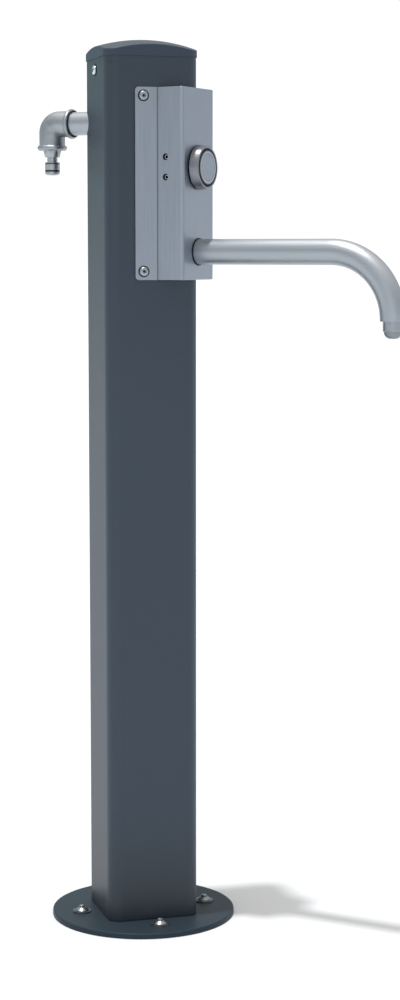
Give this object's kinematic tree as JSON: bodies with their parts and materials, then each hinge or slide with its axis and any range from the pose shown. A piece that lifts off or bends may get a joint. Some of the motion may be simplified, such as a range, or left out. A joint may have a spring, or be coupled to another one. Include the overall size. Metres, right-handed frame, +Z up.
{
  "type": "water column with push button",
  "caption": "Square outdoor water post on a round bolted base plate, with a domed cap, push-button valve housing, curved spout and a rear elbow with a hose plug.",
  "frame": {"origin": "centre of the base plate's underside, on the post's axis", "axes": "+Z up along the post, -Y towards the spout and the push button, +Y towards the hose outlet, +X to the right of someone who faces the button"},
  "size_m": [0.2, 0.4355, 0.95],
  "materials": {
    "coated_steel": "fine metallic grey powder coat on steel",
    "brushed_cover": "fine brushed stainless sheet",
    "satin_tube": "satin ground stainless tube",
    "plated_brass": "bright nickel plating, lightly dulled",
    "button_metal": "satin steel disc, turned face",
    "cast_fitting": "blasted cast stainless",
    "fastener_steel": "bright stainless fasteners",
    "bracket_steel": "plain stainless",
    "dark_bracket": "black coated steel bracket",
    "raw_brass": "machined brass",
    "galvanised_pipe": "galvanised steel pipe",
    "black_rubber": "matt black sealing rubber"
  },
  "bodies": {
    "column": {"base_plate": "coated_steel", "post": "coated_steel", "foot_weld": "coated_steel", "anchor_washers": "fastener_steel", "anchor_nuts": "fastener_steel", "post_cap": "coated_steel", "cap_screws": "fastener_steel", "valve_housing": "brushed_cover", "housing_screws": "fastener_steel", "housing_weld_nuts": "fastener_steel", "side_screws": "fastener_steel", "valve_yoke": "dark_bracket", "button_bezel": "button_metal", "bezel_gasket": "black_rubber", "button_wiper": "black_rubber", "return_spring": "bracket_steel", "valve_barrel": "raw_brass", "barrel_nut": "raw_brass", "valve_body": "raw_brass", "outlet_tube": "raw_brass", "spout_elbow": "raw_brass", "spout_ring": "raw_brass", "spout_o_ring": "black_rubber", "spout_tube": "satin_tube", "outlet_nozzle": "plated_brass", "nozzle_insert": "plated_brass", "riser_pipe": "galvanised_pipe", "inlet_socket": "raw_brass", "inlet_screws": "fastener_steel", "inlet_tee": "raw_brass", "feed_pipe": "galvanised_pipe", "feed_elbow": "raw_brass", "hose_pipe": "satin_tube", "pipe_grommet": "black_rubber", "hose_elbow": "cast_fitting", "hose_plug": "plated_brass", "plug_o_ring": "black_rubber"},
    "push_button": {"button_cap": "button_metal", "button_stem": "bracket_steel", "valve_piston": "raw_brass", "piston_seal": "black_rubber"}
  },
  "joints": [
    {"name": "button_press", "type": "slide", "parent": "column", "child": "push_button", "axis": [0, 1, 0], "range_m": [0, 0.005], "stiffness_N_per_m": 1500, "springref_m": -0.004, "deforming": ["return_spring"]}
  ]
}
